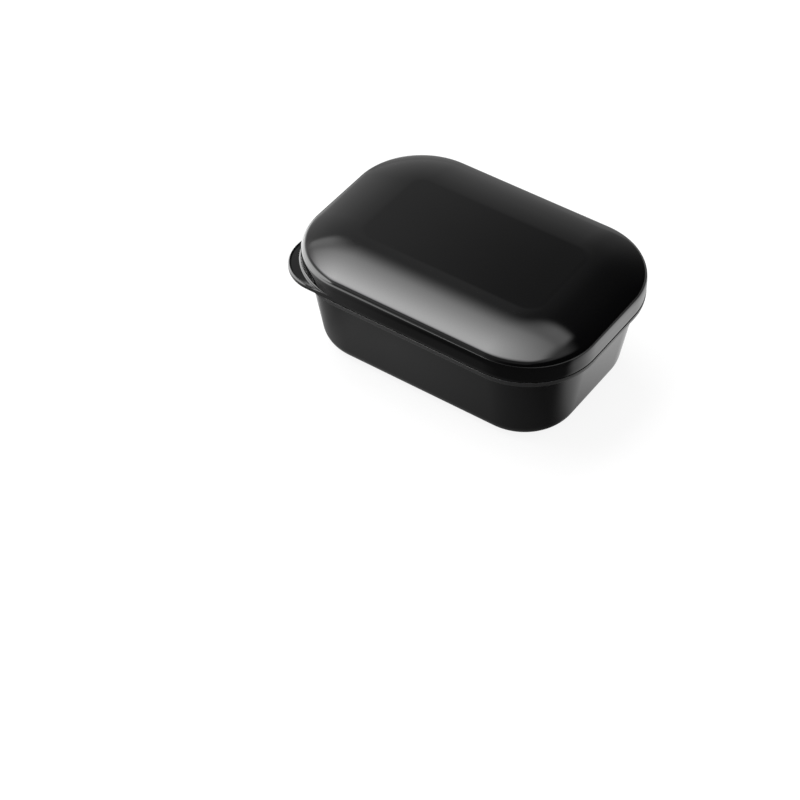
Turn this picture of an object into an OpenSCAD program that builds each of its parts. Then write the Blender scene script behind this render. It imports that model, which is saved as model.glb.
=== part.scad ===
// Travel soap box: a deep base, a domed lift-off lid with a finger tab, and a ribbed drain rack.
// Millimetres, +Z up. The origin is the middle of the face that the box stands on.

/* [Base] */
// Length over the ledge
ledge_l = 115; // [105:0.5:130]
// Width over the ledge
ledge_w = 80.4; // [74:0.2:92]
// Corner radius of the ledge, seen from above
ledge_r = 27; // [25:0.5:31]
// How far the ledge stands out from the wall
ledge_out = 2.75; // [2.2:0.05:3.5]
// Thickness of the ledge
ledge_t = 2.1; // [1.4:0.05:3]
// Radius of the ledge's face, which tucks in towards its lower edge
ledge_face_r = 6; // [4:0.5:12]
// Radius between the wall and the underside of the ledge
ledge_fillet = 0.9; // [0.4:0.1:1.5]
// Height from the table to the rim
base_h = 41; // [36:0.5:50]
// Height of the upstand between the ledge and the rim
upstand_h = 6.85; // [5:0.05:9]
// Radius between the upstand and the top of the ledge
upstand_fillet = 0.7; // [0.3:0.1:0.8]
// Thickness of the wall, whose rim is fully round
base_t = 1.5; // [1.2:0.1:2]
// Thickness of the floor
floor_t = 1.8; // [1.2:0.1:2.6]
// How far the wall leans in between the ledge and the table
wall_lean = 5.2; // [3:0.1:6.5]
// Radius of the bottom edge
bottom_r = 6.8; // [5:0.1:8]
// Height of the flat pad under the floor, which the box stands on
pad_h = 0.3; // [0.2:0.05:0.6]
// Distance from the start of the bottom edge's radius in to the edge of the pad
pad_in = 1.2; // [0.5:0.1:3]
// How far the bead that holds the lid stands out from the upstand
bead_out = 0.15; // [0.05:0.01:0.2]
// Radius of that bead's section
bead_r = 0.6; // [0.4:0.1:0.9]
// Distance of that bead below the rim
bead_drop = 1.6; // [1.4:0.1:2.5]
// Radius on the lower edge of the ledge
edge_r = 0.35; // [0.15:0.05:0.5]
// Radius on the two edges of the parting line
part_r = 0.08; // [0.05:0.01:0.2]

/* [Lid] */
// Gap between the ledge and the lower edge of the lid
lid_gap = 0.1; // [0.1:0.05:0.6]
// How far the lid sits back from the edge of the ledge
lid_back = 0.05; // [0:0.05:0.3]
// Height over which the skirt tucks in at its foot
skirt_tuck = 1.4; // [0.8:0.1:2]
// Radius of the skirt's face at its foot
skirt_foot_r = 8; // [4:0.5:12]
// Radius of the skirt's face where it starts to turn in near its top
skirt_top_r = 13; // [8:0.5:16]
// How far it turns there, in degrees
skirt_turn = 8; // [4:1:12]
// How far in the shoulder would meet the skirt if there were no radius between them
edge_in = 0.18; // [0.1:0.01:0.3]
// Thickness of the lid
lid_t = 1.6; // [1.2:0.1:1.7]
// Height above the rim of the base at which the shoulder would meet the skirt
lid_edge_h = 0.5; // [0.2:0.05:0.8]
// Radius of the round edge between the skirt and the shoulder
bend_r = 3; // [2:0.1:4]
// Slope that the shoulder would have where it meets the skirt, in degrees
shoulder_slope = 45.5; // [42:0.5:49]
// Radius of the shoulder just inside that edge
shoulder_r = 8; // [5:0.5:11]
// Slope where the shoulder runs into the dome, in degrees
dome_slope = 27.7; // [24:0.1:30]
// Distance from the edge in to the flat top
dome_reach = 21.9; // [18:0.1:23]
// How far the seat reaches in past the rim
seat_in = 0.4; // [0.2:0.1:1]
// Clearance between the grip ribs in the skirt and the upstand
grip_gap = 0.25; // [0.22:0.01:0.5]
// Width of a grip rib
grip_w = 1.4; // [1:0.1:3]
// Distance of a grip rib from the end of the straight stretch of skirt
grip_in = 6; // [3:0.5:9]

/* [Finger tab] */
// Corner radius of the tab, seen from above
tab_r = 15.5; // [12:0.5:19]
// Thickness of the tab in its dish
tab_t = 1.4; // [1:0.1:1.6]
// Height of the lip above the dish
tab_lip_h = 0.5; // [0.3:0.1:1]
// Width of the lip
tab_lip_w = 0.8; // [0.5:0.1:1.2]

/* [Drain rack] */
// Height from the table to the rim of the rack
rack_top = 14.8; // [14:0.1:20]
// Depth of the tray's wall, from its rim down to its foot
rack_depth = 6.8; // [5:0.1:7.5]
// Thickness of the tray's wall, whose rim is fully round
rack_t = 1.2; // [0.9:0.1:1.6]
// Width of the sloping border between the foot of the wall and the floor
border_w = 4.2; // [3:0.1:6]
// Drop of that border
border_drop = 1.6; // [1:0.1:2]
// Thickness of the tray's floor
rack_floor_t = 1.5; // [1:0.1:2]
// Clearance between the rack and the base at the ends
rack_gap_l = 1.2; // [0.6:0.1:2]
// Clearance between the rack and the base along the sides
rack_gap_w = 1.9; // [0.6:0.1:3]
// Distance from one rib to the next
rib_pitch = 12; // [11.5:0.5:15]
// Width of a rib at its foot
rib_w = 7.2; // [6:0.1:7.4]
// Height of a rib above the tray's floor
rib_h = 4.2; // [3.6:0.1:4.6]
// Gap between the rounded tip of a rib and the foot of the tray's wall
rib_end_gap = 0.2; // [0.1:0.1:2]
// Least thickness between the surface of a rib and the hollow underneath it
rib_t = 1.4; // [1.2:0.1:2]
// Width of a drain slot
slot_w = 4.4; // [3:0.1:4.5]
// Distance between the end of a slot and the foot of the tray's wall
slot_land = 8.9; // [8:0.1:12]
// Floor left between the outermost slots and the foot of the tray's wall
side_land = 2; // [1.5:0.1:4]
// Diameter of the feet under the rack
foot_d = 4.4; // [3:0.1:5]
// Clearance between a foot and the rounded bottom edge of the base
foot_gap = 0.3; // [0.1:0.1:1]

/* [Hidden] */
$fn = 96;
// Overlap of solids that are joined, and overshoot of cuts
lap = 0.3;
past = 1;

// Corner centres, shared by the ledge, the wall and the lid
corner_x = ledge_l / 2 - ledge_r;
corner_y = ledge_w / 2 - ledge_r;

// Levels of the base, and the radii of its corners at a height
rim_r = ledge_r - ledge_out;
ledge_top = base_h - upstand_h;
ledge_low = ledge_top - ledge_t;
wall_tilt = atan(wall_lean / ledge_low);
function outer_r(z) = rim_r - tan(wall_tilt) * max(0, ledge_low - z);
function inner_r(z) = outer_r(z) - base_t;

// Distance from the corner centre of an arc that touches a level floor and the leaning wall
function arc_x(foot, r) = foot + r * tan(wall_tilt) - r / cos(wall_tilt);

// How far out the centre of a small arc is that touches a larger one from inside, off above its centre
function touch(r, small_r, off) = sqrt(pow(r - small_r, 2) - pow(off, 2));

// Lid: skirt, round edge, shoulder arc and dome arc, each touching the next
lid_low = ledge_top + lid_gap;
lid_edge = base_h + lid_edge_h;
lid_r = ledge_r - lid_back;
lid_edge_r = lid_r - edge_in;
shoulder_x = lid_edge_r - shoulder_r * sin(shoulder_slope);
shoulder_z = lid_edge - shoulder_r * cos(shoulder_slope);
dome_x = lid_edge_r - dome_reach;
dome_r = shoulder_r + (shoulder_x - dome_x) / sin(dome_slope);
dome_z = shoulder_z - (dome_r - shoulder_r) * cos(dome_slope);
dome_end = dome_x + dome_r * sin(dome_slope);
lid_top = dome_z + dome_r;
bend_x = lid_r - skirt_top_r + (skirt_top_r - bend_r) * cos(skirt_turn);
bend_z = shoulder_z + touch(shoulder_r, bend_r, bend_x - shoulder_x);
skirt_top = bend_z - (skirt_top_r - bend_r) * sin(skirt_turn);
shoulder_end = shoulder_x + (bend_x - shoulder_x) * shoulder_r / (shoulder_r - bend_r);
seat_r = inner_r(base_h) - seat_in;
grip_r = rim_r + grip_gap;
grip_low = ledge_top + upstand_fillet + lid_gap;

// Rack: levels, the radius at its rim, the radius at the foot of its wall, and its ribs
wall_foot = rack_top - rack_depth;
tray_floor = wall_foot - border_drop;
tray_low = tray_floor - rack_floor_t;
rack_r = inner_r(rack_top) - rack_gap_l;
tray_r = rack_r - rack_depth * tan(wall_tilt) - rack_t;
rack_corner_y = corner_y - (rack_gap_w - rack_gap_l);
rib_r = (rib_w * rib_w / 4 + rib_h * rib_h) / (2 * rib_h);
rib_z = tray_floor + rib_h - rib_r;
slot_pairs = floor((corner_x + tray_r - side_land - slot_w / 2) / rib_pitch + 0.5);
foot_x = rib_pitch * (slot_pairs - 1.5);
foot_y = corner_y + arc_x(inner_r(floor_t), bottom_r - base_t) - foot_d / 2 - foot_gap;

// Distance from the middle to the foot of the tray's long wall, at x along it
function tray_edge(x) = rack_corner_y + sqrt(pow(tray_r, 2) - pow(max(0, x - corner_x), 2));
function rib_half(x) = tray_edge(x) - rib_end_gap;
function slot_half(x) = tray_edge(x + slot_w / 2) - slot_land;

// Sweeps an upright section around a rounded rectangle whose corner centres are at half_l, half_w
module around(half_l, half_w) {
    for (turn = [0, 180]) rotate([0, 0, turn]) {
        translate([half_l, half_w, 0]) rotate_extrude(angle = 90) children();
        translate([-half_l, half_w, 0]) rotate([0, 0, 90]) rotate_extrude(angle = 90) children();
        translate([half_l, half_w, 0]) rotate([90, 0, 0]) linear_extrude(2 * half_w) children();
        translate([-half_l, half_w, 0]) rotate([90, 0, 90]) linear_extrude(2 * half_l) children();
    }
}

// A level plate between the corner centres
module middle(half_l, half_w, low, high) {
    translate([-half_l, -half_w, low]) cube([2 * half_l, 2 * half_w, high - low]);
}

// Half of a bowl: round bottom edge, leaning wall up to bend, upright wall above it
module bowl_section(foot, r, low, bend, high) {
    x = arc_x(foot, r);
    wall = foot + (bend - low) * tan(wall_tilt);
    polygon([
        [0, low],
        [x, low],
        [x, low + r],
        [x + r * cos(wall_tilt), low + r - r * sin(wall_tilt)],
        [wall, bend],
        [wall, high],
        [0, high]
    ]);
    translate([x, low + r]) circle(r);
}

// Fills the corner between a wall at x and a level face at z, above the face (side 1) or below (-1)
module inner_fillet(x, z, r, side) {
    difference() {
        translate([x - lap, side > 0 ? z - lap : z - r]) square(r + lap);
        translate([x + r, z + side * r]) circle(r);
    }
}

// Part of a disc, beyond from and between two heights measured from its centre
module disc_face(x, z, r, from, low, high) {
    translate([x, z]) intersection() {
        circle(r, $fn = 360);
        translate([from - x, low]) square([x + r - from, high - low]);
    }
}

module ledge_section() {
    r = ledge_face_r;
    lower = edge_r - ledge_t;
    face_x = ledge_r - r;
    upper_x = face_x + touch(r, part_r, part_r);
    lower_x = face_x + touch(r, edge_r, lower);
    start = rim_r - lap;
    translate([start, ledge_low]) square([lower_x - start, ledge_t]);
    translate([start, ledge_top - part_r]) square([upper_x - start, part_r]);
    translate([lower_x, ledge_top + lower]) circle(edge_r);
    translate([upper_x, ledge_top - part_r]) circle(part_r);
    disc_face(face_x, ledge_top, r, lower_x, lower * r / (r - edge_r), -part_r * r / (r - part_r));
}

module base_section() {
    difference() {
        union() {
            bowl_section(outer_r(pad_h), bottom_r, pad_h, ledge_low, base_h - base_t / 2);
            square([arc_x(outer_r(pad_h), bottom_r) - pad_in, pad_h + lap]);
            ledge_section();
            inner_fillet(rim_r, ledge_top, upstand_fillet, 1);
            inner_fillet(rim_r, ledge_low, ledge_fillet, -1);
            // Bead near the rim, which holds the lid
            translate([rim_r + bead_out - bead_r, base_h - bead_drop]) circle(bead_r);
        }
        bowl_section(inner_r(floor_t), bottom_r - base_t, floor_t, ledge_low, base_h);
    }
    // Round rim
    translate([rim_r - base_t / 2, base_h - base_t / 2]) circle(base_t / 2);
}

module base() {
    color("#1b1b1d") {
        around(corner_x, corner_y) base_section();
        middle(corner_x, corner_y, 0, floor_t);
    }
}

// Outside of the lid, from the corner centre out to the skirt
module lid_outside() {
    foot_x = lid_r - skirt_foot_r + touch(skirt_foot_r, part_r, skirt_tuck - part_r);
    translate([0, lid_low]) square([foot_x, bend_z - lid_low]);
    translate([foot_x, lid_low + part_r]) circle(part_r);
    disc_face(lid_r - skirt_foot_r, lid_low + skirt_tuck, skirt_foot_r, shoulder_x,
        (part_r - skirt_tuck) * skirt_foot_r / (skirt_foot_r - part_r), 0);
    translate([0, lid_low + skirt_tuck]) square([lid_r, skirt_top - lid_low - skirt_tuck]);
    disc_face(lid_r - skirt_top_r, skirt_top, skirt_top_r, shoulder_x, 0, skirt_top_r * sin(skirt_turn));
    translate([bend_x, bend_z]) circle(bend_r);
    intersection() {
        translate([shoulder_x, shoulder_z]) circle(shoulder_r);
        translate([shoulder_x, bend_z - lap]) square([shoulder_end - shoulder_x, shoulder_r]);
    }
    intersection() {
        translate([dome_x, dome_z]) circle(dome_r, $fn = 360);
        translate([dome_x, lid_low]) square([dome_end - dome_x, lid_top]);
    }
    translate([0, lid_low]) square([dome_x, lid_top - lid_low]);
}

// Hollow of the lid: inside the skirt up to the seat on the rim, then up under the dome
module lid_inside() {
    polygon([
        [0, lid_low - past],
        [lid_r - lid_t, lid_low - past],
        [lid_edge_r - lid_t, base_h],
        [0, base_h]
    ]);
    intersection() {
        translate([dome_x, dome_z]) circle(dome_r - lid_t, $fn = 360);
        translate([dome_x, base_h - past]) square([seat_r - dome_x, lid_top]);
    }
    translate([0, base_h - past]) square([dome_x, lid_top - lid_t - base_h + past]);
}

module lid_section() {
    difference() {
        lid_outside();
        lid_inside();
    }
}

// Outline of the finger tab at one corner: the straight sides of the skirt run on to a tighter corner
module tab_outline(inset) {
    side = lid_r - inset;
    r = tab_r - inset;
    square([side - r, side]);
    square([side, side - r]);
    translate([side - r, side - r]) circle(r);
}

module finger_tab() {
    rotate([0, 0, 180]) translate([corner_x, corner_y, 0]) difference() {
        translate([0, 0, lid_low]) linear_extrude(tab_t + tab_lip_h) difference() {
            tab_outline(0);
            circle(lid_r - lid_t / 2);
        }
        // Dish
        translate([0, 0, lid_low + tab_t]) linear_extrude(tab_lip_h + past) difference() {
            tab_outline(tab_lip_w);
            circle(lid_r);
        }
    }
}

// Small upright ribs inside the skirt that centre the lid on the upstand
module grip_ribs() {
    reach = lid_edge_r - lid_t / 2 - grip_r;
    tall = lid_edge - grip_low;
    for (along = [grip_in - corner_x, corner_x - grip_in], side = [0, 1]) mirror([0, side, 0])
        translate([along - grip_w / 2, corner_y + grip_r, grip_low]) cube([grip_w, reach, tall]);
    for (along = [grip_in - corner_y, corner_y - grip_in], side = [0, 1]) mirror([side, 0, 0])
        translate([corner_x + grip_r, along - grip_w / 2, grip_low]) cube([reach, grip_w, tall]);
}

module lid() {
    color("#0c0c0e") {
        around(corner_x, corner_y) lid_section();
        middle(corner_x, corner_y, lid_top - lid_t, lid_top);
        finger_tab();
        grip_ribs();
    }
}

module tray_section() {
    rim_z = rack_top - rack_t / 2;
    difference() {
        polygon([
            [0, tray_low],
            [tray_r - border_w, tray_low],
            [rack_r - (rack_depth + rack_floor_t) * tan(wall_tilt), wall_foot - rack_floor_t],
            [rack_r - (rack_top - rim_z) * tan(wall_tilt), rim_z],
            [0, rim_z]
        ]);
        polygon([
            [0, tray_floor],
            [tray_r - border_w, tray_floor],
            [tray_r, wall_foot],
            [tray_r + rack_depth * tan(wall_tilt), rack_top],
            [0, rack_top]
        ]);
    }
    translate([rack_r - rack_t / 2 - (rack_top - rim_z) * tan(wall_tilt), rim_z]) circle(rack_t / 2);
}

// A round bar along Y with round ends, half_l from the middle to each tip
module round_bar(r, half_l) {
    rotate([90, 0, 0]) cylinder(h = 2 * (half_l - r), r = r, center = true);
    for (end = [-1, 1]) translate([0, end * (half_l - r), 0]) sphere(r);
}

// An upright hole with round ends, from below the tray up to a height
module long_hole(x, half_l, w, high) {
    low = tray_low - past;
    translate([x, 0, low]) linear_extrude(high - low) {
        square([w, 2 * half_l - w], center = true);
        for (end = [-1, 1]) translate([0, end * (half_l - w / 2)]) circle(d = w);
    }
}

// The hollow underneath a rib: a pocket with round ends and a flat roof, open at the bottom
module rib_hollow(x) {
    r = (rib_r - rib_t) * cos(40);
    long_hole(x, rib_half(abs(x)) - rib_r + r, 2 * r, rib_z + (rib_r - rib_t) * sin(40));
}

module rib(x) {
    difference() {
        intersection() {
            translate([x, 0, rib_z]) round_bar(rib_r, rib_half(abs(x)));
            translate([x - rib_r, -tray_edge(0), tray_low]) cube([2 * rib_r, 2 * tray_edge(0), 2 * rib_r]);
        }
        rib_hollow(x);
    }
}

module slot(x) {
    long_hole(x, slot_half(abs(x)), slot_w, rack_top);
}

module drain_rack() {
    color("#131315") {
        difference() {
            union() {
                around(corner_x, rack_corner_y) tray_section();
                middle(corner_x, rack_corner_y, tray_low, tray_floor);
            }
            for (i = [1 : slot_pairs], side = [-1, 1]) slot(side * (i - 0.5) * rib_pitch);
            for (i = [1 - slot_pairs : slot_pairs - 1]) rib_hollow(i * rib_pitch);
        }
        for (i = [1 - slot_pairs : slot_pairs - 1]) rib(i * rib_pitch);
        // Feet that stand on the floor of the base
        for (x = [-foot_x, foot_x], y = [-foot_y, foot_y]) translate([x, y, floor_t])
            cylinder(h = tray_floor - rack_floor_t / 2 - floor_t, d = foot_d);
    }
}

base();
lid();
drain_rack();
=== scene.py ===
import math

import bmesh
import bpy
from mathutils import Matrix, Quaternion, Vector


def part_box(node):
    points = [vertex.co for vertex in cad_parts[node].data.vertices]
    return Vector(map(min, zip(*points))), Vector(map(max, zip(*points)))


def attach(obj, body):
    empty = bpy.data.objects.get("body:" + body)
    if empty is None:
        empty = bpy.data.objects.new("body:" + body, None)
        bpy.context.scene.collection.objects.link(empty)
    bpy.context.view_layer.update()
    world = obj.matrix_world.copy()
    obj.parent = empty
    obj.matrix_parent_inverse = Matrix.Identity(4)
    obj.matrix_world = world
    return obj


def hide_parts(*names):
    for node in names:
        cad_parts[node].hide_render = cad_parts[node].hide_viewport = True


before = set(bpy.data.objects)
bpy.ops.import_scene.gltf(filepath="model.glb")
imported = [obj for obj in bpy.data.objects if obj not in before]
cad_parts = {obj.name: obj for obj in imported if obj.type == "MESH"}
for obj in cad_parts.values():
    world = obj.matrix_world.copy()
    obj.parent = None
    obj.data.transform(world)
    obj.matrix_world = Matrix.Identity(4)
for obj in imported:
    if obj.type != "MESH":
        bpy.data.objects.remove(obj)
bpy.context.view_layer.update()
print("frame loaded:", ", ".join(sorted(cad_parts)))

mm = 0.001  # every piece is drawn in millimetres and scaled once at its end
tiny = 0.002  # millimetres within which vertices are merged
sharpAbove = 35  # degrees between two faces from which their edge stays crisp


# Ways of drawing that the pieces share

def drawSection(bm, start, strokes, hold=0.15):
    # An upright section, x outward and z up. A stroke of two numbers is a straight line to x, z;
    # one of four is an arc: centre x, centre z, degrees turned from +X towards +Z, steps.
    # A straight line gets a short piece at each end, so that the shading of the flat face stays flat.
    tip = bm.verts.new((start[0], 0, start[1]))
    for stroke in strokes:
        if len(stroke) == 2:
            begin, end = tip.co.copy(), Vector((stroke[0], 0, stroke[1]))
            reach = (end - begin).length
            stops = [1] if reach < 4 * hold else [hold / reach, 1 - hold / reach, 1]
            for stop in stops:
                new = bm.verts.new(begin.lerp(end, stop))
                bm.edges.new((tip, new))
                tip = new
        else:
            x, z, degrees, steps = stroke
            spun = bmesh.ops.spin(bm, geom=[tip], cent=(x, 0, z), axis=(0, -1, 0),
                                  angle=math.radians(degrees), steps=steps)
            tip = [g for g in spun["geom_last"] if isinstance(g, bmesh.types.BMVert)][0]


def sweepAround(bm, halfL, halfW, turnSteps=32, hold=0.3):
    # Carries the drawn section round a rounded rectangle whose corner centres are at halfL, halfW
    bmesh.ops.translate(bm, verts=bm.verts, vec=(halfL, -halfW, 0))
    geom = bm.verts[:] + bm.edges[:]
    corners = ((halfL, halfW), (-halfL, halfW), (-halfL, -halfW), (halfL, -halfW))
    runs = ((0, 2 * halfW), (-2 * halfL, 0), (0, -2 * halfW), (2 * halfL, 0))
    for corner, run in zip(corners, runs):
        run = Vector((*run, 0))
        if run.length > 4 * hold:
            short = run.normalized() * hold
            for step in (short, run - 2 * short, short):
                geom = bmesh.ops.spin(bm, geom=geom, axis=(0, 0, 1), dvec=step, steps=1)["geom_last"]
        geom = bmesh.ops.spin(bm, geom=geom, cent=(*corner, 0), axis=(0, 0, 1),
                              angle=math.pi / 2, steps=turnSteps)["geom_last"]
    bmesh.ops.remove_doubles(bm, verts=bm.verts, dist=tiny)
    bmesh.ops.dissolve_degenerate(bm, edges=bm.edges, dist=tiny)


def touching(r, small, off):
    # How far out the centre of a small arc is that touches a larger one from inside, off from its centre
    return math.sqrt((r - small) ** 2 - off ** 2)


def fillOpenings(bm):
    rims = [e for e in bm.edges if e.is_boundary]
    if rims:
        bmesh.ops.holes_fill(bm, edges=rims)


def finishMesh(bm, name):
    # Scales the drawing to metres and makes it an object with smooth faces and crisp corners
    bmesh.ops.recalc_face_normals(bm, faces=bm.faces)
    bmesh.ops.scale(bm, vec=(mm, mm, mm), verts=bm.verts)
    mesh = bpy.data.meshes.new(name)
    bm.to_mesh(mesh)
    bm.free()
    mesh.shade_smooth()
    mesh.set_sharp_from_angle(angle=math.radians(sharpAbove))
    piece = bpy.data.objects.new(name, mesh)
    bpy.context.scene.collection.objects.link(piece)
    return piece


def joinInto(bm, other):
    # Adds the geometry of another bmesh
    mesh = bpy.data.meshes.new("joined")
    other.to_mesh(mesh)
    other.free()
    bm.from_mesh(mesh)
    bpy.data.meshes.remove(mesh)


# Materials

def mouldedPlastic(name, look):
    # Near-black gloss plastic: fine drift in colour and polish, the slight waviness of a moulding, and where
    # the look asks for it a rougher ledge face with a painted sheen
    material = bpy.data.materials.new(name)
    material.use_nodes = True
    nodes, links = material.node_tree.nodes, material.node_tree.links
    shader = nodes["Principled BSDF"]
    shader.inputs["IOR"].default_value = look["ior"]
    place = nodes.new("ShaderNodeTexCoord")
    drift = nodes.new("ShaderNodeTexNoise")
    drift.inputs["Scale"].default_value = look["driftScale"]
    drift.inputs["Detail"].default_value = 2
    links.new(place.outputs["Object"], drift.inputs["Vector"])
    tint = nodes.new("ShaderNodeMix")
    tint.data_type = "RGBA"
    tint.inputs["A"].default_value = (*look["colour"], 1)
    tint.inputs["B"].default_value = (*[c * look["colourDrift"] for c in look["colour"]], 1)
    links.new(drift.outputs["Fac"], tint.inputs["Factor"])
    links.new(tint.outputs["Result"], shader.inputs["Base Color"])
    polish = nodes.new("ShaderNodeMapRange")
    polish.inputs["To Min"].default_value = look["roughness"][0]
    polish.inputs["To Max"].default_value = look["roughness"][1]
    links.new(drift.outputs["Fac"], polish.inputs["Value"])
    if "ledgeRoughness" in look:
        # The vertices of the ledge's face carry the value 1. There the plastic is rougher, and its colour is
        # made lighter: a painted sheen for the light the ledge catches.
        roughAndSheenMask = nodes.new("ShaderNodeAttribute")
        roughAndSheenMask.attribute_name = "ledgeFace"
        blend = nodes.new("ShaderNodeMix")
        blend.inputs["B"].default_value = look["ledgeRoughness"]
        links.new(roughAndSheenMask.outputs["Fac"], blend.inputs["Factor"])
        links.new(polish.outputs["Result"], blend.inputs["A"])
        links.new(blend.outputs["Result"], shader.inputs["Roughness"])
        paintedSheen = nodes.new("ShaderNodeMix")
        paintedSheen.data_type = "RGBA"
        paintedSheen.inputs["B"].default_value = (*look["ledgePaintedSheen"], 1)
        links.new(roughAndSheenMask.outputs["Fac"], paintedSheen.inputs["Factor"])
        links.new(tint.outputs["Result"], paintedSheen.inputs["A"])
        links.new(paintedSheen.outputs["Result"], shader.inputs["Base Color"])
    else:
        links.new(polish.outputs["Result"], shader.inputs["Roughness"])
    grain = nodes.new("ShaderNodeTexNoise")
    grain.inputs["Scale"].default_value = look["grainScale"]
    grain.inputs["Detail"].default_value = 3
    links.new(place.outputs["Object"], grain.inputs["Vector"])
    relief = nodes.new("ShaderNodeBump")
    relief.inputs["Strength"].default_value = look["grainStrength"]
    relief.inputs["Distance"].default_value = look["grainDepth"]
    links.new(grain.outputs["Fac"], relief.inputs["Height"])
    links.new(relief.outputs["Normal"], shader.inputs["Normal"])
    return material


lidGloss = mouldedPlastic("high gloss black plastic", {
    "colour": (0.0009, 0.0009, 0.001),
    "colourDrift": 1.3,
    "ior": 1.5,
    "roughness": (0.07, 0.1),
    "driftScale": 60,
    "grainScale": 90,
    "grainStrength": 0.2,
    "grainDepth": 0.00001,
})
bodyGloss = mouldedPlastic("satin gloss black plastic", {
    "colour": (0.003, 0.003, 0.0032),
    "colourDrift": 1.4,
    "ior": 1.5,
    "roughness": (0.12, 0.17),
    "ledgeRoughness": 0.42,
    # The ledge's lighter colour is a painted sheen, for the light its face catches
    "ledgePaintedSheen": (0.034, 0.034, 0.0343),
    "driftScale": 70,
    "grainScale": 900,
    "grainStrength": 0.15,
    "grainDepth": 0.000012,
})
rackGloss = mouldedPlastic("satin gloss black plastic of the rack", {
    "colour": (0.0028, 0.0028, 0.003),
    "colourDrift": 1.4,
    "ior": 1.5,
    "roughness": (0.1, 0.15),
    "driftScale": 80,
    "grainScale": 900,
    "grainStrength": 0.15,
    "grainDepth": 0.000012,
})
print("materials made")


# Base: floor, leaning wall, ledge, and upstand with a round rim

baseLow, baseHigh = [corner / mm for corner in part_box("base")]
baseShell = {
    "ledgeRadius": 27,
    "ledgeOut": 2.75,
    "ledgeThick": 2.1,
    "ledgeFaceRadius": 6,
    "ledgeFillet": 0.9,
    # The ledge's face is rougher and painted lighter, a painted sheen
    "faceFrom": 1,  # the matt face of the ledge starts this far outside the upstand
    "faceMargin": 0.01,
    "upstandHeight": 6.85,
    "upstandFillet": 0.7,
    "wallThick": 1.5,
    "floorThick": 1.8,
    "wallLean": 5.2,
    "bottomRadius": 6.8,
    "padHeight": 0.3,
    "padIn": 1.2,
    "beadOut": 0.15,
    "beadRadius": 0.6,
    "beadDrop": 1.6,
    "edgeRadius": 0.35,
    "partingRadius": 0.08,
}
ledgeR = baseShell["ledgeRadius"]
cornerX = baseHigh.x - ledgeR
cornerY = baseHigh.y - ledgeR
rimZ = baseHigh.z
rimR = ledgeR - baseShell["ledgeOut"]
ledgeTop = rimZ - baseShell["upstandHeight"]
ledgeUnder = ledgeTop - baseShell["ledgeThick"]
wallTilt = math.atan(baseShell["wallLean"] / ledgeUnder)
tiltDegrees = math.degrees(wallTilt)


def wallOutside(z):
    return rimR - math.tan(wallTilt) * max(0, ledgeUnder - z)


def bottomArcX(foot, r):
    # Where the centre of the bottom edge's arc is, so that it touches the floor and the leaning wall
    return foot + r * math.tan(wallTilt) - r / math.cos(wallTilt)


def makeBase(look):
    edge, parting, thick = look["edgeRadius"], look["partingRadius"], look["wallThick"]
    outR, inR = look["bottomRadius"], look["bottomRadius"] - thick
    floorZ = look["floorThick"]
    pad = look["padHeight"]
    outX = bottomArcX(wallOutside(pad), outR)
    inX = bottomArcX(wallOutside(floorZ) - thick, inR)
    faceR = look["ledgeFaceRadius"]
    faceX = ledgeR - faceR
    lowerZ = ledgeUnder + edge
    lowerX = faceX + touching(faceR, edge, lowerZ - ledgeTop)
    upperX = faceX + touching(faceR, parting, parting)
    tuck = math.degrees(math.asin((ledgeTop - lowerZ) / (faceR - edge)))
    crest = math.degrees(math.asin(parting / (faceR - parting)))
    fillet, foot = look["ledgeFillet"], look["upstandFillet"]
    filletX = rimR - fillet * math.tan(wallTilt) + fillet / math.cos(wallTilt)
    wallTopX = filletX - fillet * math.cos(wallTilt)
    wallTopZ = ledgeUnder - fillet + fillet * math.sin(wallTilt)
    beadX, beadZ = rimR + look["beadOut"] - look["beadRadius"], rimZ - look["beadDrop"]
    beadHalf = math.acos(1 - look["beadOut"] / look["beadRadius"])
    beadReach = look["beadRadius"] * math.sin(beadHalf)
    bm = bmesh.new()
    drawSection(bm, (0, 0), [
        (outX - look["padIn"], 0),
        (outX - look["padIn"], pad),
        (outX, pad),
        (outX, pad + outR, 90 - tiltDegrees, 16),
        (wallTopX, wallTopZ),
        (filletX, ledgeUnder - fillet, tiltDegrees - 90, 8),
        (lowerX, ledgeUnder),
        (lowerX, lowerZ, 90 - tuck, 6),
        (faceX, ledgeTop, tuck - crest, 10),
        (upperX, ledgeTop - parting, 90 + crest, 4),
        (rimR + foot, ledgeTop),
        (rimR + foot, ledgeTop + foot, -90, 8),
        (rimR, beadZ - beadReach),
        (beadX, beadZ, 2 * math.degrees(beadHalf), 6),
        (rimR, rimZ - thick / 2),
        (rimR - thick / 2, rimZ - thick / 2, 180, 12),
        (rimR - thick, ledgeUnder),
        (inX + inR * math.cos(wallTilt), floorZ + inR - inR * math.sin(wallTilt)),
        (inX, floorZ + inR, tiltDegrees - 90, 14),
        (0, floorZ),
    ])
    sweepAround(bm, cornerX, cornerY)
    fillOpenings(bm)
    # Marks the ledge's face, which the material makes rougher and paints lighter as a painted sheen
    ledgeFace = bm.verts.layers.float.new("ledgeFace")
    low, high = ledgeUnder + look["faceMargin"], ledgeTop - look["faceMargin"]
    for v in bm.verts:
        reach = math.hypot(max(abs(v.co.x) - cornerX, 0), max(abs(v.co.y) - cornerY, 0))
        v[ledgeFace] = reach > rimR + look["faceFrom"] and low < v.co.z < high
    return finishMesh(bm, "base_shell")


baseShellPiece = makeBase(baseShell)
baseShellPiece.data.materials.append(bodyGloss)
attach(baseShellPiece, "base")
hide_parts("base")
print("base made")


# Lid: skirt, round edge, shoulder and dome, grip ribs and finger tab

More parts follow.
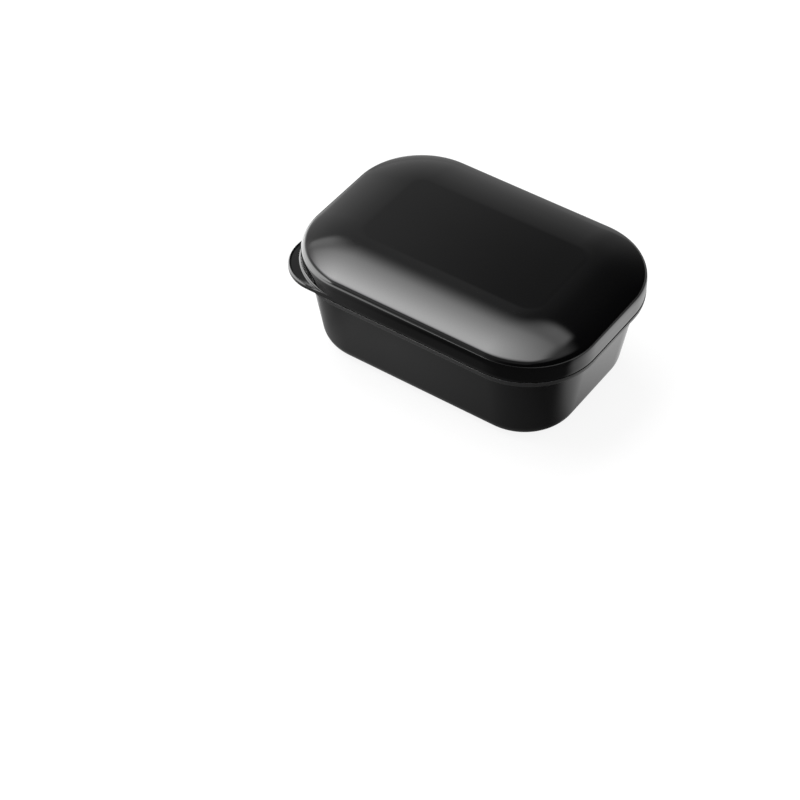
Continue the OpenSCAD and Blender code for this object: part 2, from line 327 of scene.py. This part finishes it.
lidLow, lidHigh = [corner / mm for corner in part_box("lid")]
lidShell = {
    "back": 0.05,
    "skirtTuck": 1.4,
    "skirtFootRadius": 8,
    "skirtTopRadius": 13,
    "skirtTurn": 8,
    "edgeIn": 0.18,
    "thick": 1.6,
    "edgeHeight": 0.5,
    "bendRadius": 3,
    "shoulderSlope": 45.5,
    "shoulderRadius": 8,
    "domeSlope": 27.7,
    "domeReach": 21.9,
    "seatIn": 0.4,
    "gripGap": 0.25,
    "gripWidth": 1.4,
    "gripIn": 6,
    "gripRound": 0.2,
}
skirtR = ledgeR - lidShell["back"]
skirtLow = lidLow.z


def makeLidShell(look):
    parting, thick = baseShell["partingRadius"], look["thick"]
    edgeZ = rimZ + look["edgeHeight"]
    edgeR = skirtR - look["edgeIn"]
    slope, gentle = math.radians(look["shoulderSlope"]), math.radians(look["domeSlope"])
    shoulder, bend = look["shoulderRadius"], look["bendRadius"]
    shoulderX = edgeR - shoulder * math.sin(slope)
    shoulderZ = edgeZ - shoulder * math.cos(slope)
    domeX = edgeR - look["domeReach"]
    domeR = shoulder + (shoulderX - domeX) / math.sin(gentle)
    domeZ = shoulderZ - (domeR - shoulder) * math.cos(gentle)
    topR, turn = look["skirtTopRadius"], look["skirtTurn"]
    bendX = skirtR - topR + (topR - bend) * math.cos(math.radians(turn))
    bendZ = shoulderZ + touching(shoulder, bend, bendX - shoulderX)
    topZ = bendZ - (topR - bend) * math.sin(math.radians(turn))
    footR, footZ = look["skirtFootRadius"], skirtLow + look["skirtTuck"]
    footX = skirtR - footR + touching(footR, parting, look["skirtTuck"] - parting)
    tuck = math.degrees(math.asin((look["skirtTuck"] - parting) / (footR - parting)))
    bendAngle = math.degrees(math.atan2(bendZ - shoulderZ, bendX - shoulderX))
    innerR = domeR - thick
    seatR = rimR - baseShell["wallThick"] - look["seatIn"]
    innerAngle = math.degrees(math.acos((seatR - domeX) / innerR))
    innerZ = domeZ + innerR * math.sin(math.radians(innerAngle))
    bm = bmesh.new()
    drawSection(bm, (0, domeZ + domeR), [
        (domeX, domeZ + domeR),
        (domeX, domeZ, -look["domeSlope"], 24),
        (shoulderX, shoulderZ, bendAngle - 90 + look["domeSlope"], 10),
        (bendX, bendZ, turn - bendAngle, 10),
        (skirtR - topR, topZ, -turn, 8),
        (skirtR, footZ),
        (skirtR - footR, footZ, -tuck, 6),
        (footX, skirtLow + parting, tuck - 90, 4),
        (skirtR - thick, skirtLow),
        (edgeR - thick, rimZ),
        (seatR, rimZ),
        (seatR, innerZ),
        (domeX, domeZ, 90 - innerAngle, 20),
        (0, domeZ + innerR),
    ])
    sweepAround(bm, cornerX, cornerY)
    fillOpenings(bm)
    return bm


def addGripRibs(bm, look):
    # Eight small upright ribs that centre the lid on the upstand
    inner = rimR + look["gripGap"]
    reach = skirtR - look["thick"] / 2 - look["edgeIn"] - inner
    low = skirtLow + baseShell["upstandFillet"]
    tall = rimZ + look["edgeHeight"] - low
    alongX = (cornerX - look["gripIn"], cornerY + inner + reach / 2, look["gripWidth"], reach)
    alongY = (cornerX + inner + reach / 2, cornerY - look["gripIn"], reach, look["gripWidth"])
    for x, y, wide, deep in (alongX, alongY):
        for side in ((1, 1), (-1, 1), (1, -1), (-1, -1)):
            rib = bmesh.new()
            bmesh.ops.create_cube(rib, size=1)
            bmesh.ops.scale(rib, vec=(wide, deep, tall), verts=rib.verts)
            bmesh.ops.translate(rib, vec=(x * side[0], y * side[1], low + tall / 2), verts=rib.verts)
            bmesh.ops.bevel(rib, geom=rib.edges[:], offset=look["gripRound"], segments=2, profile=0.5,
                            affect="EDGES", material=-1)
            joinInto(bm, rib)


fingerTab = {
    "radius": 15.5,
    "thick": 1.4,
    "lipHeight": 0.5,
    "lipWidth": 0.8,
    "innerLip": 0.6,
    "lipSlope": 0.35,
    "edgeRound": 0.2,
    "dishTilt": 0.4,
    "skirtFillet": 0.4,
    "outerRound": ((0, 0.5), (0.04, 0.4), (0.45, 0.05), (0.53, 0), (0.6, 0)),  # inward, and below the top
    "outerCrest": 0.15,  # drop of the outer lip's inner edge, as a share of the depth of the dish
    "innerFace": (0.1, 0.3),  # outward from the inner lip, and below the top
    "innerRound": ((0.3, 0.06), (0.2, 0.12)),  # outward from the skirt, and above the top
    "innerCrest": 0.2,
    "fullDish": 1.2,  # width from which the dish has its full depth
    "steps": 48,
}


def makeFingerTab(look):
    # A crescent between the round skirt and a tighter corner; each extrusion is the next line of its section
    r, side = look["radius"], skirtR
    centre = Vector((side - r, side - r))

    def width(angle):
        # From the skirt out to the outline of the tab
        ray = Vector((math.cos(angle), math.sin(angle)))
        if math.tan(angle) < (side - r) / side:
            return side / ray.x - side
        if math.tan(angle) > side / (side - r):
            return side / ray.y - side
        along = centre.dot(ray)
        return along + math.sqrt(along ** 2 - centre.length_squared + r ** 2) - side

    top = look["thick"] + look["lipHeight"]
    lips = look["innerLip"] + look["lipWidth"]

    def section(w):
        # Distance outward from the skirt and height above its lower edge, for a tab w wide there
        share = min(1, w / lips)
        inLip, outLip = look["innerLip"] * share, w - look["lipWidth"] * share
        floorW = outLip - inLip
        slope = min(look["lipSlope"], floorW / 3)
        deep = look["lipHeight"] * min(1, floorW / look["fullDish"])
        corner = min(look["edgeRound"], w / 3)
        fillet = look["skirtFillet"] * share
        hidden = -lidShell["thick"] / 2
        bend = 1 - math.sqrt(0.5)
        rise = deep * look["dishTilt"]
        faceOut, faceDrop = look["innerFace"]
        return [
            (hidden, 0), (w - corner, 0), (w - corner * bend, corner * bend), (w, corner),
            *[(w - inward * share, top - drop * share) for inward, drop in look["outerRound"]],
            (outLip, top - look["outerCrest"] * deep), (outLip - slope, top - deep),
            (inLip + slope, top - deep + rise), (inLip + faceOut * share, top - faceDrop * share),
            *[(outward * share, top + lift * share) for outward, lift in look["innerRound"]],
            (fillet * bend, top + look["innerCrest"] * share), (0, top + fillet), (hidden, top + fillet),
        ]

    bm = bmesh.new()
    first = bm.verts.new((side, 0, 0))
    bmesh.ops.spin(bm, geom=[first], cent=(0, 0, 0), axis=(0, 0, 1), angle=math.pi / 2, steps=look["steps"])
    line = bm.edges[:]
    firstLine = line

    def place(verts, index):
        for v in verts:
            angle = math.atan2(v.co.y, v.co.x)
            out, z = section(max(0, width(angle)))[index]
            v.co = Vector((math.cos(angle), math.sin(angle), 0)) * (side + out)
            v.co.z = z

    place(bm.verts, 0)
    for index in range(1, len(section(1))):
        made = bmesh.ops.extrude_edge_only(bm, edges=line)["geom"]
        verts = [g for g in made if isinstance(g, bmesh.types.BMVert)]
        fresh = set(verts)
        line = [g for g in made if isinstance(g, bmesh.types.BMEdge) and set(g.verts) <= fresh]
        place(verts, index)
    bmesh.ops.bridge_loops(bm, edges=firstLine + line)
    fillOpenings(bm)
    bmesh.ops.rotate(bm, verts=bm.verts, cent=(0, 0, 0), matrix=Matrix.Rotation(math.pi, 3, "Z"))
    bmesh.ops.translate(bm, verts=bm.verts, vec=(-cornerX, -cornerY, skirtLow))
    bmesh.ops.recalc_face_normals(bm, faces=bm.faces)
    return bm


lidMesh = makeLidShell(lidShell)
addGripRibs(lidMesh, lidShell)
joinInto(lidMesh, makeFingerTab(fingerTab))
lidPiece = finishMesh(lidMesh, "lid_shell")
lidPiece.data.materials.append(lidGloss)
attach(lidPiece, "lid")
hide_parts("lid")
print("lid made")


# Drain rack: tray with a sloping border, ribs, slots and feet

drainRack = {
    "top": 14.8,
    "depth": 6.8,
    "thick": 1.2,
    "borderWidth": 4.2,
    "borderDrop": 1.6,
    "floorThick": 1.5,
    "gapLength": 1.2,
    "gapWidth": 1.9,
    "ribPitch": 12,
    "ribWidth": 7.2,
    "ribHeight": 4.2,
    "ribEndGap": 0.2,
    "ribThick": 1.4,
    "hollowAngle": 40,  # the hollow under a rib has a flat roof between these angles of its arc
    "slotWidth": 4.4,
    "slotLand": 8.9,
    "slotPairs": 4,
    "footDiameter": 4.4,
    "footGap": 0.3,
}


def capsule(reach, section, turnSteps=12):
    # A closed upright section turned into a long body with round ends along Y
    bm = bmesh.new()
    drawSection(bm, section[0], section[1:])
    sweepAround(bm, 0, reach, turnSteps)
    fillOpenings(bm)
    bmesh.ops.recalc_face_normals(bm, faces=bm.faces)
    return bm


def makeRack(look):
    tan, cos = math.tan(wallTilt), math.cos(wallTilt)
    top, thick = look["top"], look["thick"]
    wallFoot = top - look["depth"]
    floorTop = wallFoot - look["borderDrop"]
    floorLow = floorTop - look["floorThick"]
    rackR = wallOutside(top) - baseShell["wallThick"] - look["gapLength"]
    trayR = rackR - look["depth"] * tan - thick
    halfW = cornerY - look["gapWidth"] + look["gapLength"]
    rimMid = top - thick / 2
    rimX = rackR - thick / 2 - thick / 2 * tan
    tray = bmesh.new()
    drawSection(tray, (0, floorLow), [
        (trayR - look["borderWidth"], floorLow),
        (rackR - (look["depth"] + look["floorThick"]) * tan, wallFoot - look["floorThick"]),
        (rimX + thick / 2, rimMid),
        (rimX, rimMid, 180, 10),
        (trayR, wallFoot),
        (trayR - look["borderWidth"], floorTop),
        (0, floorTop),
    ])
    sweepAround(tray, cornerX, halfW)
    fillOpenings(tray)

    ribR = (look["ribWidth"] ** 2 / 4 + look["ribHeight"] ** 2) / (2 * look["ribHeight"])
    ribZ = floorTop + look["ribHeight"] - ribR
    roof = math.radians(look["hollowAngle"])
    hollowR = (ribR - look["ribThick"]) * math.cos(roof)
    hollowTop = ribZ + (ribR - look["ribThick"]) * math.sin(roof)

    def upright(reach, r, high):
        # A cutter with round ends, from below the tray up to a height
        low = floorLow - 1
        return capsule(reach, [(0, low), (r, low), (r, high), (0, high)])

    def trayEdge(x):
        return halfW + math.sqrt(trayR ** 2 - max(0, abs(x) - cornerX) ** 2)

    added, cut = bmesh.new(), bmesh.new()
    buried = (floorTop + floorLow) / 2
    start = math.degrees(math.asin((buried - ribZ) / ribR))
    for i in range(1 - look["slotPairs"], look["slotPairs"]):
        x = i * look["ribPitch"]
        reach = trayEdge(x) - look["ribEndGap"]
        rib = capsule(reach - ribR, [
            (0, buried),
            (ribR * math.cos(math.radians(start)), buried),
            (0, ribZ, 90 - start, 16),
        ])
        hollow = upright(reach - ribR, hollowR, hollowTop)
        bmesh.ops.translate(rib, verts=rib.verts, vec=(x, 0, 0))
        bmesh.ops.translate(hollow, verts=hollow.verts, vec=(x, 0, 0))
        joinInto(added, rib)
        joinInto(cut, hollow)
    slotR = look["slotWidth"] / 2
    for i in range(-look["slotPairs"], look["slotPairs"]):
        x = (i + 0.5) * look["ribPitch"]
        reach = trayEdge(abs(x) + slotR) - look["slotLand"] - slotR
        slot = upright(reach, slotR, top)
        bmesh.ops.translate(slot, verts=slot.verts, vec=(x, 0, 0))
        joinInto(cut, slot)
    footX = look["ribPitch"] * (look["slotPairs"] - 1.5)
    footArc = bottomArcX(wallOutside(baseShell["floorThick"]) - baseShell["wallThick"],
                         baseShell["bottomRadius"] - baseShell["wallThick"])
    footY = cornerY + footArc - look["footDiameter"] / 2 - look["footGap"]
    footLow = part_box("drain_rack")[0].z / mm
    for x, y in ((footX, footY), (-footX, footY), (footX, -footY), (-footX, -footY)):
        foot = bmesh.new()
        tall = buried - footLow
        bmesh.ops.create_cone(foot, cap_ends=True, segments=32, radius1=look["footDiameter"] / 2,
                              radius2=look["footDiameter"] / 2, depth=tall)
        bmesh.ops.translate(foot, verts=foot.verts, vec=(x, y, footLow + tall / 2))
        joinInto(added, foot)

    body = finishMesh(tray, "drain_rack_tray")
    helpers = []
    for other, operation in ((added, "UNION"), (cut, "DIFFERENCE")):
        helper = finishMesh(other, "rack helper")
        helpers.append(helper)
        step = body.modifiers.new(operation, "BOOLEAN")
        step.operation, step.solver, step.object = operation, "EXACT", helper
    graph = bpy.context.evaluated_depsgraph_get()
    made = bpy.data.meshes.new_from_object(body.evaluated_get(graph))
    body.modifiers.clear()
    body.data = made
    for helper in helpers:
        bpy.data.objects.remove(helper)
    made.shade_smooth()
    made.set_sharp_from_angle(angle=math.radians(sharpAbove))
    made.materials.clear()
    return body


rackPiece = makeRack(drainRack)
rackPiece.data.materials.append(rackGloss)
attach(rackPiece, "drain_rack")
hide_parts("drain_rack")
print("drain rack made")


# Camera, at the viewing angle of the photograph

photoCamera = {
    "azimuth": 34.86,
    "elevation": 44.754,
    "distance": 0.8232,
    "lookAt": (-0.00435, -0.03773, 0),
    "focalPixels": 2369.24,
    "framePixels": 800,
}


def makeCamera(look):
    data = bpy.data.cameras.new("photo camera")
    data.sensor_width = 36
    data.lens = look["focalPixels"] / look["framePixels"] * data.sensor_width
    camera = bpy.data.objects.new("photo camera", data)
    turn, rise = math.radians(look["azimuth"]), math.radians(look["elevation"])
    back = Vector((math.sin(turn) * math.cos(rise), -math.cos(turn) * math.cos(rise), math.sin(rise)))
    camera.location = Vector(look["lookAt"]) + back * look["distance"]
    camera.rotation_mode = "QUATERNION"
    camera.rotation_quaternion = (-back).to_track_quat("-Z", "Y")
    bpy.context.scene.collection.objects.link(camera)
    bpy.context.scene.camera = camera


makeCamera(photoCamera)


# Studio: white floor, softbox overhead, cards that shape the reflections

studio = {
    "floorSize": 6,
    "floorGlow": 0.88,
    "floorShade": 0.14,
    "skyFill": 0.6,
}


def seenDirectly(nodes, links):
    # 1 for camera, glossy and transmission rays, so that gloss shows the same white as the camera
    path = nodes.new("ShaderNodeLightPath")
    first, second = nodes.new("ShaderNodeMath"), nodes.new("ShaderNodeMath")
    first.operation = second.operation = "MAXIMUM"
    links.new(path.outputs["Is Camera Ray"], first.inputs[0])
    links.new(path.outputs["Is Glossy Ray"], first.inputs[1])
    links.new(first.outputs[0], second.inputs[0])
    links.new(path.outputs["Is Transmission Ray"], second.inputs[1])
    return second.outputs[0]


def makeFloor(look):
    bm = bmesh.new()
    bmesh.ops.create_grid(bm, x_segments=1, y_segments=1, size=look["floorSize"] / 2)
    mesh = bpy.data.meshes.new("floor")
    bm.to_mesh(mesh)
    bm.free()
    floor = bpy.data.objects.new("floor", mesh)
    bpy.context.scene.collection.objects.link(floor)
    material = bpy.data.materials.new("white floor")
    material.use_nodes = True
    nodes, links = material.node_tree.nodes, material.node_tree.links
    shader = nodes["Principled BSDF"]
    shader.inputs["Base Color"].default_value = (look["floorShade"],) * 3 + (1,)
    shader.inputs["Roughness"].default_value = 1
    shader.inputs["Specular IOR Level"].default_value = 0
    shader.inputs["Emission Color"].default_value = (1, 1, 1, 1)
    glow = nodes.new("ShaderNodeMath")
    glow.operation = "MULTIPLY"
    glow.inputs[1].default_value = look["floorGlow"]
    links.new(seenDirectly(nodes, links), glow.inputs[0])
    links.new(glow.outputs[0], shader.inputs["Emission Strength"])
    mesh.materials.append(material)


def makeWorld(look):
    world = bpy.data.worlds.new("studio")
    world.use_nodes = True
    bpy.context.scene.world = world
    nodes, links = world.node_tree.nodes, world.node_tree.links
    level = nodes.new("ShaderNodeMapRange")
    level.inputs["To Min"].default_value = look["skyFill"]
    level.inputs["To Max"].default_value = 1
    links.new(seenDirectly(nodes, links), level.inputs["Value"])
    background = nodes["Background"]
    background.inputs["Color"].default_value = (1, 1, 1, 1)
    links.new(level.outputs["Result"], background.inputs["Strength"])


makeFloor(studio)
makeWorld(studio)


def makeEmitter(name):
    # A material that only glows; its light is still to be made and linked
    material = bpy.data.materials.new(name)
    material.use_nodes = True
    nodes = material.node_tree.nodes
    nodes.remove(nodes["Principled BSDF"])
    return material, nodes, material.node_tree.links


def hideFromCamera(piece):
    # Only reflections see it: it lights nothing and casts no shadow
    piece.visible_camera = piece.visible_diffuse = piece.visible_shadow = False
    piece.visible_transmission = piece.visible_volume_scatter = False
    bpy.context.scene.collection.objects.link(piece)


def makeCard(name, look):
    # A flat lamp face or flag, or a sheet on the floor with painted light or shade. It glows most at its hot
    # spot and least beyond its reach, with soft borders.
    bm = bmesh.new()
    bmesh.ops.create_grid(bm, x_segments=1, y_segments=1, size=0.5)
    bmesh.ops.scale(bm, vec=(*look["size"], 1), verts=bm.verts)
    mesh = bpy.data.meshes.new(name)
    bm.to_mesh(mesh)
    bm.free()
    card = bpy.data.objects.new(name, mesh)
    card.location = look["place"]
    card.rotation_mode = "QUATERNION"
    faced = Vector(look["facing"]).to_track_quat("-Z", "Y")
    card.rotation_quaternion = faced @ Quaternion((0, 0, 1), math.radians(look.get("turn", 0)))
    hideFromCamera(card)
    material, nodes, links = makeEmitter(name)
    place = nodes.new("ShaderNodeTexCoord")
    spot = nodes.new("ShaderNodeMapping")
    spot.vector_type = "TEXTURE"
    spot.inputs["Location"].default_value = (*look.get("hotSpot", (0, 0)), 0)
    spot.inputs["Scale"].default_value = (*look.get("reach", (1, 1)), 1)
    links.new(place.outputs["Object"], spot.inputs["Vector"])
    fall = nodes.new("ShaderNodeTexGradient")
    fall.gradient_type = look.get("fall", "SPHERICAL")
    links.new(spot.outputs["Vector"], fall.inputs["Vector"])
    glow = nodes.new("ShaderNodeMapRange")
    glow.inputs["To Min"].default_value, glow.inputs["To Max"].default_value = look["glow"]
    links.new(fall.outputs["Fac"], glow.inputs["Value"])
    light = nodes.new("ShaderNodeEmission")
    links.new(glow.outputs["Result"], light.inputs["Strength"])
    split = nodes.new("ShaderNodeSeparateXYZ")
    links.new(place.outputs["Object"], split.inputs["Vector"])
    covers = []
    for axis, size, soft in zip("XY", look["size"], look["soft"]):
        for end, width in zip((-size / 2, size / 2), soft):
            fade = nodes.new("ShaderNodeMapRange")
            fade.interpolation_type = "SMOOTHSTEP"
            fade.inputs["From Min"].default_value = end
            fade.inputs["From Max"].default_value = end - math.copysign(width, end)
            links.new(split.outputs[axis], fade.inputs["Value"])
            covers.append(fade.outputs["Result"])
    cover = covers[0]
    for other in covers[1:]:
        both = nodes.new("ShaderNodeMath")
        both.operation = "MULTIPLY"
        links.new(cover, both.inputs[0])
        links.new(other, both.inputs[1])
        cover = both.outputs[0]
    mix = nodes.new("ShaderNodeMixShader")
    links.new(cover, mix.inputs["Fac"])
    links.new(nodes.new("ShaderNodeBsdfTransparent").outputs["BSDF"], mix.inputs[1])
    links.new(light.outputs["Emission"], mix.inputs[2])
    links.new(mix.outputs["Shader"], nodes["Material Output"].inputs["Surface"])
    mesh.materials.append(material)


def makeTent(look):
    # The dim room around the lamps: brightest on the left, nearly black on the right, paler low down
    bm = bmesh.new()
    bmesh.ops.create_uvsphere(bm, u_segments=32, v_segments=16, radius=look["radius"])
    mesh = bpy.data.meshes.new("studio tent")
    bm.to_mesh(mesh)
    bm.free()
    hideFromCamera(bpy.data.objects.new("studio tent", mesh))
    material, nodes, links = makeEmitter("studio tent")
    place = nodes.new("ShaderNodeTexCoord")
    split = nodes.new("ShaderNodeSeparateXYZ")
    links.new(place.outputs["Object"], split.inputs["Vector"])

    def across(axis, start, end, low, high, kind):
        # low at start and high at end, both given as shares of the radius
        step = nodes.new("ShaderNodeMapRange")
        step.interpolation_type = kind
        step.inputs["From Min"].default_value = start * look["radius"]
        step.inputs["From Max"].default_value = end * look["radius"]
        step.inputs["To Min"].default_value, step.inputs["To Max"].default_value = low, high
        links.new(split.outputs[axis], step.inputs["Value"])
        return step.outputs["Result"]

    ramp = nodes.new("ShaderNodeValToRGB")
    stops = ramp.color_ramp.elements
    while len(stops) < len(look["across"]):
        stops.new(0.5)
    for stop, (x, glow) in zip(stops, look["across"]):
        stop.position = (x + 1) / 2
        stop.color = (glow, glow, glow, 1)
    links.new(across("X", -1, 1, 0, 1, "LINEAR"), ramp.inputs["Fac"])
    low = nodes.new("ShaderNodeMath")
    low.operation = "MULTIPLY"
    links.new(across("Z", *look["lowBand"], look["lowGlow"], 0, "SMOOTHSTEP"), low.inputs[0])
    links.new(across("X", *look["lowFade"], 1, 0, "SMOOTHSTEP"), low.inputs[1])
    total = nodes.new("ShaderNodeMath")
    links.new(ramp.outputs["Color"], total.inputs[0])
    links.new(low.outputs[0], total.inputs[1])
    light = nodes.new("ShaderNodeEmission")
    links.new(total.outputs[0], light.inputs["Strength"])
    links.new(light.outputs["Emission"], nodes["Material Output"].inputs["Surface"])
    mesh.materials.append(material)


def makeLamp(name, look):
    data = bpy.data.lights.new(name, "AREA")
    data.shape = "RECTANGLE"
    data.size, data.size_y = look["size"]
    data.energy = look["power"]
    lamp = bpy.data.objects.new(name, data)
    lamp.location = look["place"]
    lamp.rotation_mode = "QUATERNION"
    lamp.rotation_quaternion = (-Vector(look["place"])).to_track_quat("-Z", "Y")
    lamp.visible_glossy = False
    bpy.context.scene.collection.objects.link(lamp)


makeLamp("overhead lamp", {"place": (-0.5, 0.05, 0.95), "size": (1.2, 0.7), "power": 16})
makeTent({
    "radius": 2.9,
    "across": (
        (-0.85, 0.58), (-0.75, 0.5), (-0.6, 0.46), (-0.45, 0.43), (-0.4, 0.38), (-0.35, 0.24), (-0.27, 0.15),
        (-0.18, 0.12), (-0.09, 0.08), (0, 0.06), (0.15, 0.045), (0.35, 0.02),
    ),
    "lowBand": (0.35, 0.75),
    "lowGlow": 0.1,
    "lowFade": (-0.25, 0.15),
})
# A flag is a dark card that keeps light out of one part of a reflection. The cards lying on the floor paint
# pools of light and shade onto it, which only reflections see. All are in metres.
cards = {
    "softbox": {
        "place": (-0.72, -0.1, 0.9), "facing": (0, 0, -1), "size": (2.16, 1.22),
        "soft": ((0.14, 0.14), (0.35, 0.36)),
        "hotSpot": (0.2, -0.13), "reach": (1.5, 0.8), "glow": (1.8, 10.8), "fall": "QUADRATIC_SPHERE",
    },
    "softbox left end": {
        "place": (-1.17, 0.38, 0.89), "facing": (0, 0, -1), "size": (1.24, 0.36),
        "soft": ((0.14, 0.5), (0.16, 0.14)), "glow": (2.1, 2.1),
    },
    "softbox right end": {
        "place": (0.04, 0.37, 0.89), "facing": (0, 0, -1), "size": (0.64, 0.38),
        "soft": ((0.4, 0.1), (0.16, 0.16)), "glow": (2, 2),
    },
    "middle flag": {
        "place": (-0.49, 0.815, 0.87), "facing": (0, 0, -1), "size": (0.38, 0.27),
        "soft": ((0.3, 0.06), (0.06, 0.15)), "glow": (0.13, 0.13),
    },
    "softbox spill": {
        "place": (0.35, -0.05, 0.91), "facing": (0, 0, -1), "size": (0.8, 1.1),
        "soft": ((0.35, 0.35), (0.3, 0.3)), "glow": (0.65, 0.65),
    },
    "softbox left flag": {
        "place": (-1.41, -0.41, 0.88), "facing": (0, 0, -1), "turn": -37.5, "size": (2.4, 1.2),
        "soft": ((0.3, 0.3), (0.3, 0.22)), "glow": (1.05, 1.05),
    },
    "softbox right flag": {
        "place": (0.09, -0.79, 0.88), "facing": (0, 0, -1), "turn": 20, "size": (1.3, 1.2),
        "soft": ((0.25, 0.2), (0.3, 0.3)), "glow": (0.25, 0.25),
    },
    "left window": {
        "place": (-0.9, -0.26, 0.16), "facing": (1, 0, 0), "turn": 33, "size": (2.6, 0.9),
        "soft": ((0.2, 0.2), (0.25, 0.25)), "glow": (6.5, 6.5),
    },
    "front window": {
        "place": (-0.3575, -0.3, 0.04), "facing": (0, 1, 0), "size": (0.525, 0.12),
        "soft": ((0.12, 0.07), (0.02, 0.03)), "hotSpot": (-0.23, 0), "reach": (0.45, 10), "glow": (3.6, 7),
    },
    # Painted light: a bright pool on the floor left of the box, seen only in reflections
    "left painted light pool": {
        "place": (-0.4925, -0.2, 0.0003), "facing": (0, 0, -1), "size": (0.815, 1.2),
        "soft": ((0.06, 0.09), (0.16, 0.34)), "glow": (5, 5),
    },
    # Painted shade: the floor in front of the box darkened, seen only in reflections
    "front painted shade": {
        "place": (0.082, -0.305, 0.0006), "facing": (0, 0, -1), "size": (0.436, 0.59),
        "soft": ((0.12, 0.07), (0.02, 0.016)), "hotSpot": (-0.102, 0.26), "reach": (0.085, 0.04),
        "glow": (0.07, 0.34),
    },
    # Painted shade: a dark patch on the floor close to the left end of the box, seen only in reflections
    "left flag": {
        "place": (-0.06, -0.045, 0.0007), "facing": (0, 0, -1), "size": (0.05, 0.05),
        "soft": ((0.015, 0.015), (0.015, 0.015)), "glow": (0.25, 0.25),
    },
    # Painted shade: the floor behind the box darkened, seen only in reflections
    "back painted shade": {
        "place": (-0.5, 1.48, 0.0004), "facing": (0, 0, -1), "size": (3, 2.8),
        "soft": ((0.3, 0.3), (0.1, 0.1)), "glow": (0.45, 0.45),
    },
    # Painted light: a bright pool on the floor right of the box, seen only in reflections
    "right painted light pool": {
        "place": (0.085, 0.03, 0.0005), "facing": (0, 0, -1), "size": (0.22, 0.26),
        "soft": ((0.02, 0.02), (0.02, 0.02)), "hotSpot": (0.013, 0.011), "reach": (0.08, 0.08),
        "glow": (0.05, 2.1),
    },
}
for name, look in cards.items():
    makeCard(name, look)

view = bpy.context.scene.view_settings
view.view_transform = "Standard"
print("studio made")
